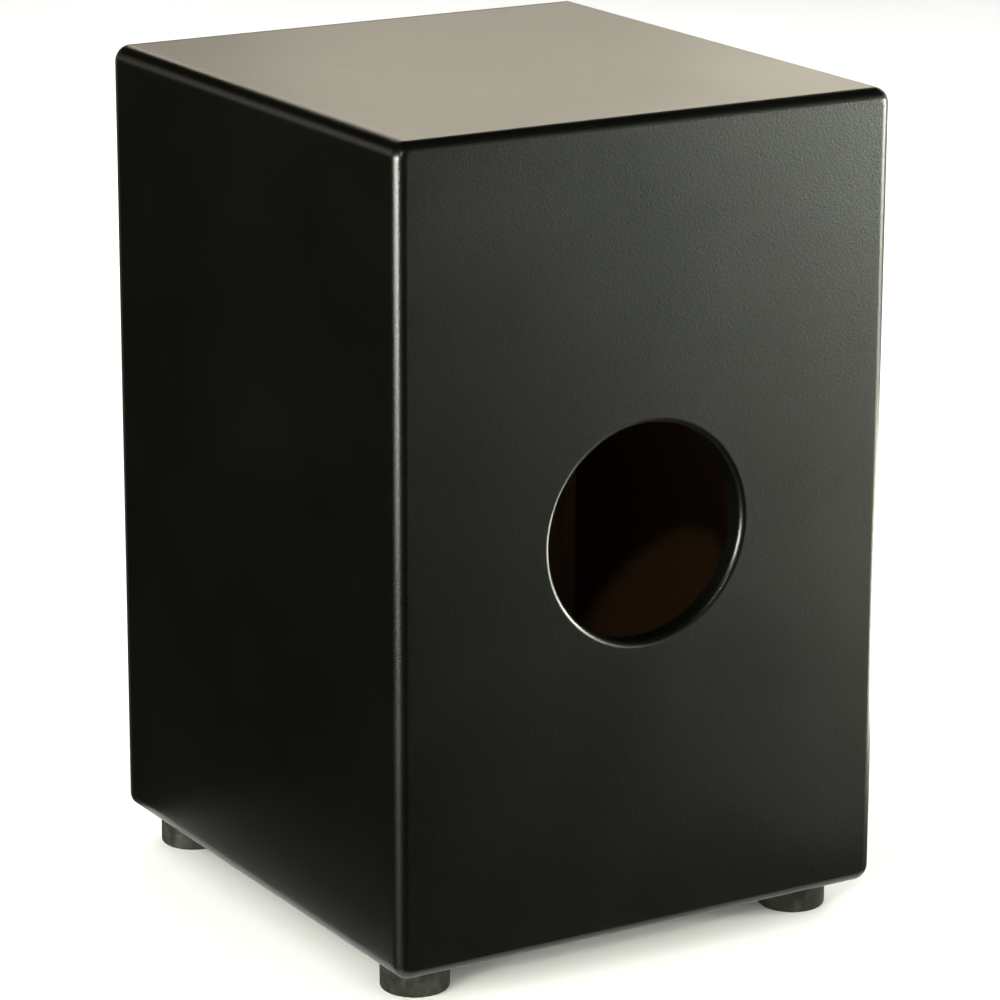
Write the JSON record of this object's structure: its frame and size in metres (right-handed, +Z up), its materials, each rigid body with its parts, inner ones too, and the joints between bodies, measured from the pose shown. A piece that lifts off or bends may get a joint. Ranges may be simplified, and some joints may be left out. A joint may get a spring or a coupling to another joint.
{
  "type": "cajon",
  "caption": "Black box drum with a round sound hole in its back, a thin screwed front plate, internal strings and round rubber feet.",
  "frame": {"origin": "on the floor under the middle of the box", "axes": "+Z up, +Y out of the back panel with the sound hole, -Y out of the front plate that is played, +X to the left of the player"},
  "size_m": [0.305, 0.3174, 0.47],
  "materials": {
    "black_lacquer": "satin black lacquer on fibreboard, soft rounded edges; bare brown board inside",
    "stained_plywood": "satin black stain on thin plywood",
    "batten_wood": "planed unfinished wood",
    "black_screw": "black oxide screws",
    "foot_rubber": "matte moulded rubber with a dusty bloom",
    "zinc_steel": "bright zinc plated steel",
    "bolt_steel": "plain steel",
    "brass_block": "machined brass",
    "string_wire": "drawn steel wire"
  },
  "bodies": {
    "cabinet": {"seat_panel": "black_lacquer", "base_panel": "black_lacquer", "left_side_panel": "black_lacquer", "right_side_panel": "black_lacquer", "back_panel": "black_lacquer", "front_plate": "stained_plywood", "top_front_batten": "batten_wood", "bottom_front_batten": "batten_wood", "left_front_batten": "batten_wood", "right_front_batten": "batten_wood", "left_glue_strip": "batten_wood", "right_glue_strip": "batten_wood", "front_plate_screws": "black_screw", "front_left_foot": "foot_rubber", "front_right_foot": "foot_rubber", "rear_left_foot": "foot_rubber", "rear_right_foot": "foot_rubber", "foot_washers": "zinc_steel", "foot_screws": "zinc_steel", "string_anchor_plate": "zinc_steel", "anchor_screws": "zinc_steel", "left_string": "string_wire", "right_string": "string_wire", "tuning_bracket": "zinc_steel", "bracket_screws": "zinc_steel"},
    "tuning_bolt": {"tuning_bolt": "bolt_steel", "thrust_washer": "zinc_steel"},
    "tension_block": {"tension_block": "brass_block"}
  },
  "joints": [
    {"name": "bolt_turn", "type": "hinge", "parent": "cabinet", "child": "tuning_bolt", "pos_m": [0, -0.12375, 0.05], "axis": [0, 0, 1], "range_deg": [-720, 720]},
    {"name": "block_travel", "type": "slide", "parent": "cabinet", "child": "tension_block", "axis": [0, 0, 1], "range_m": [-0.002, 0.002], "deforming": ["left_string", "right_string"]}
  ],
  "couplings": [
    {"joint": "bolt_turn", "follows": "block_travel", "rad_per_m": -6283.2}
  ]
}
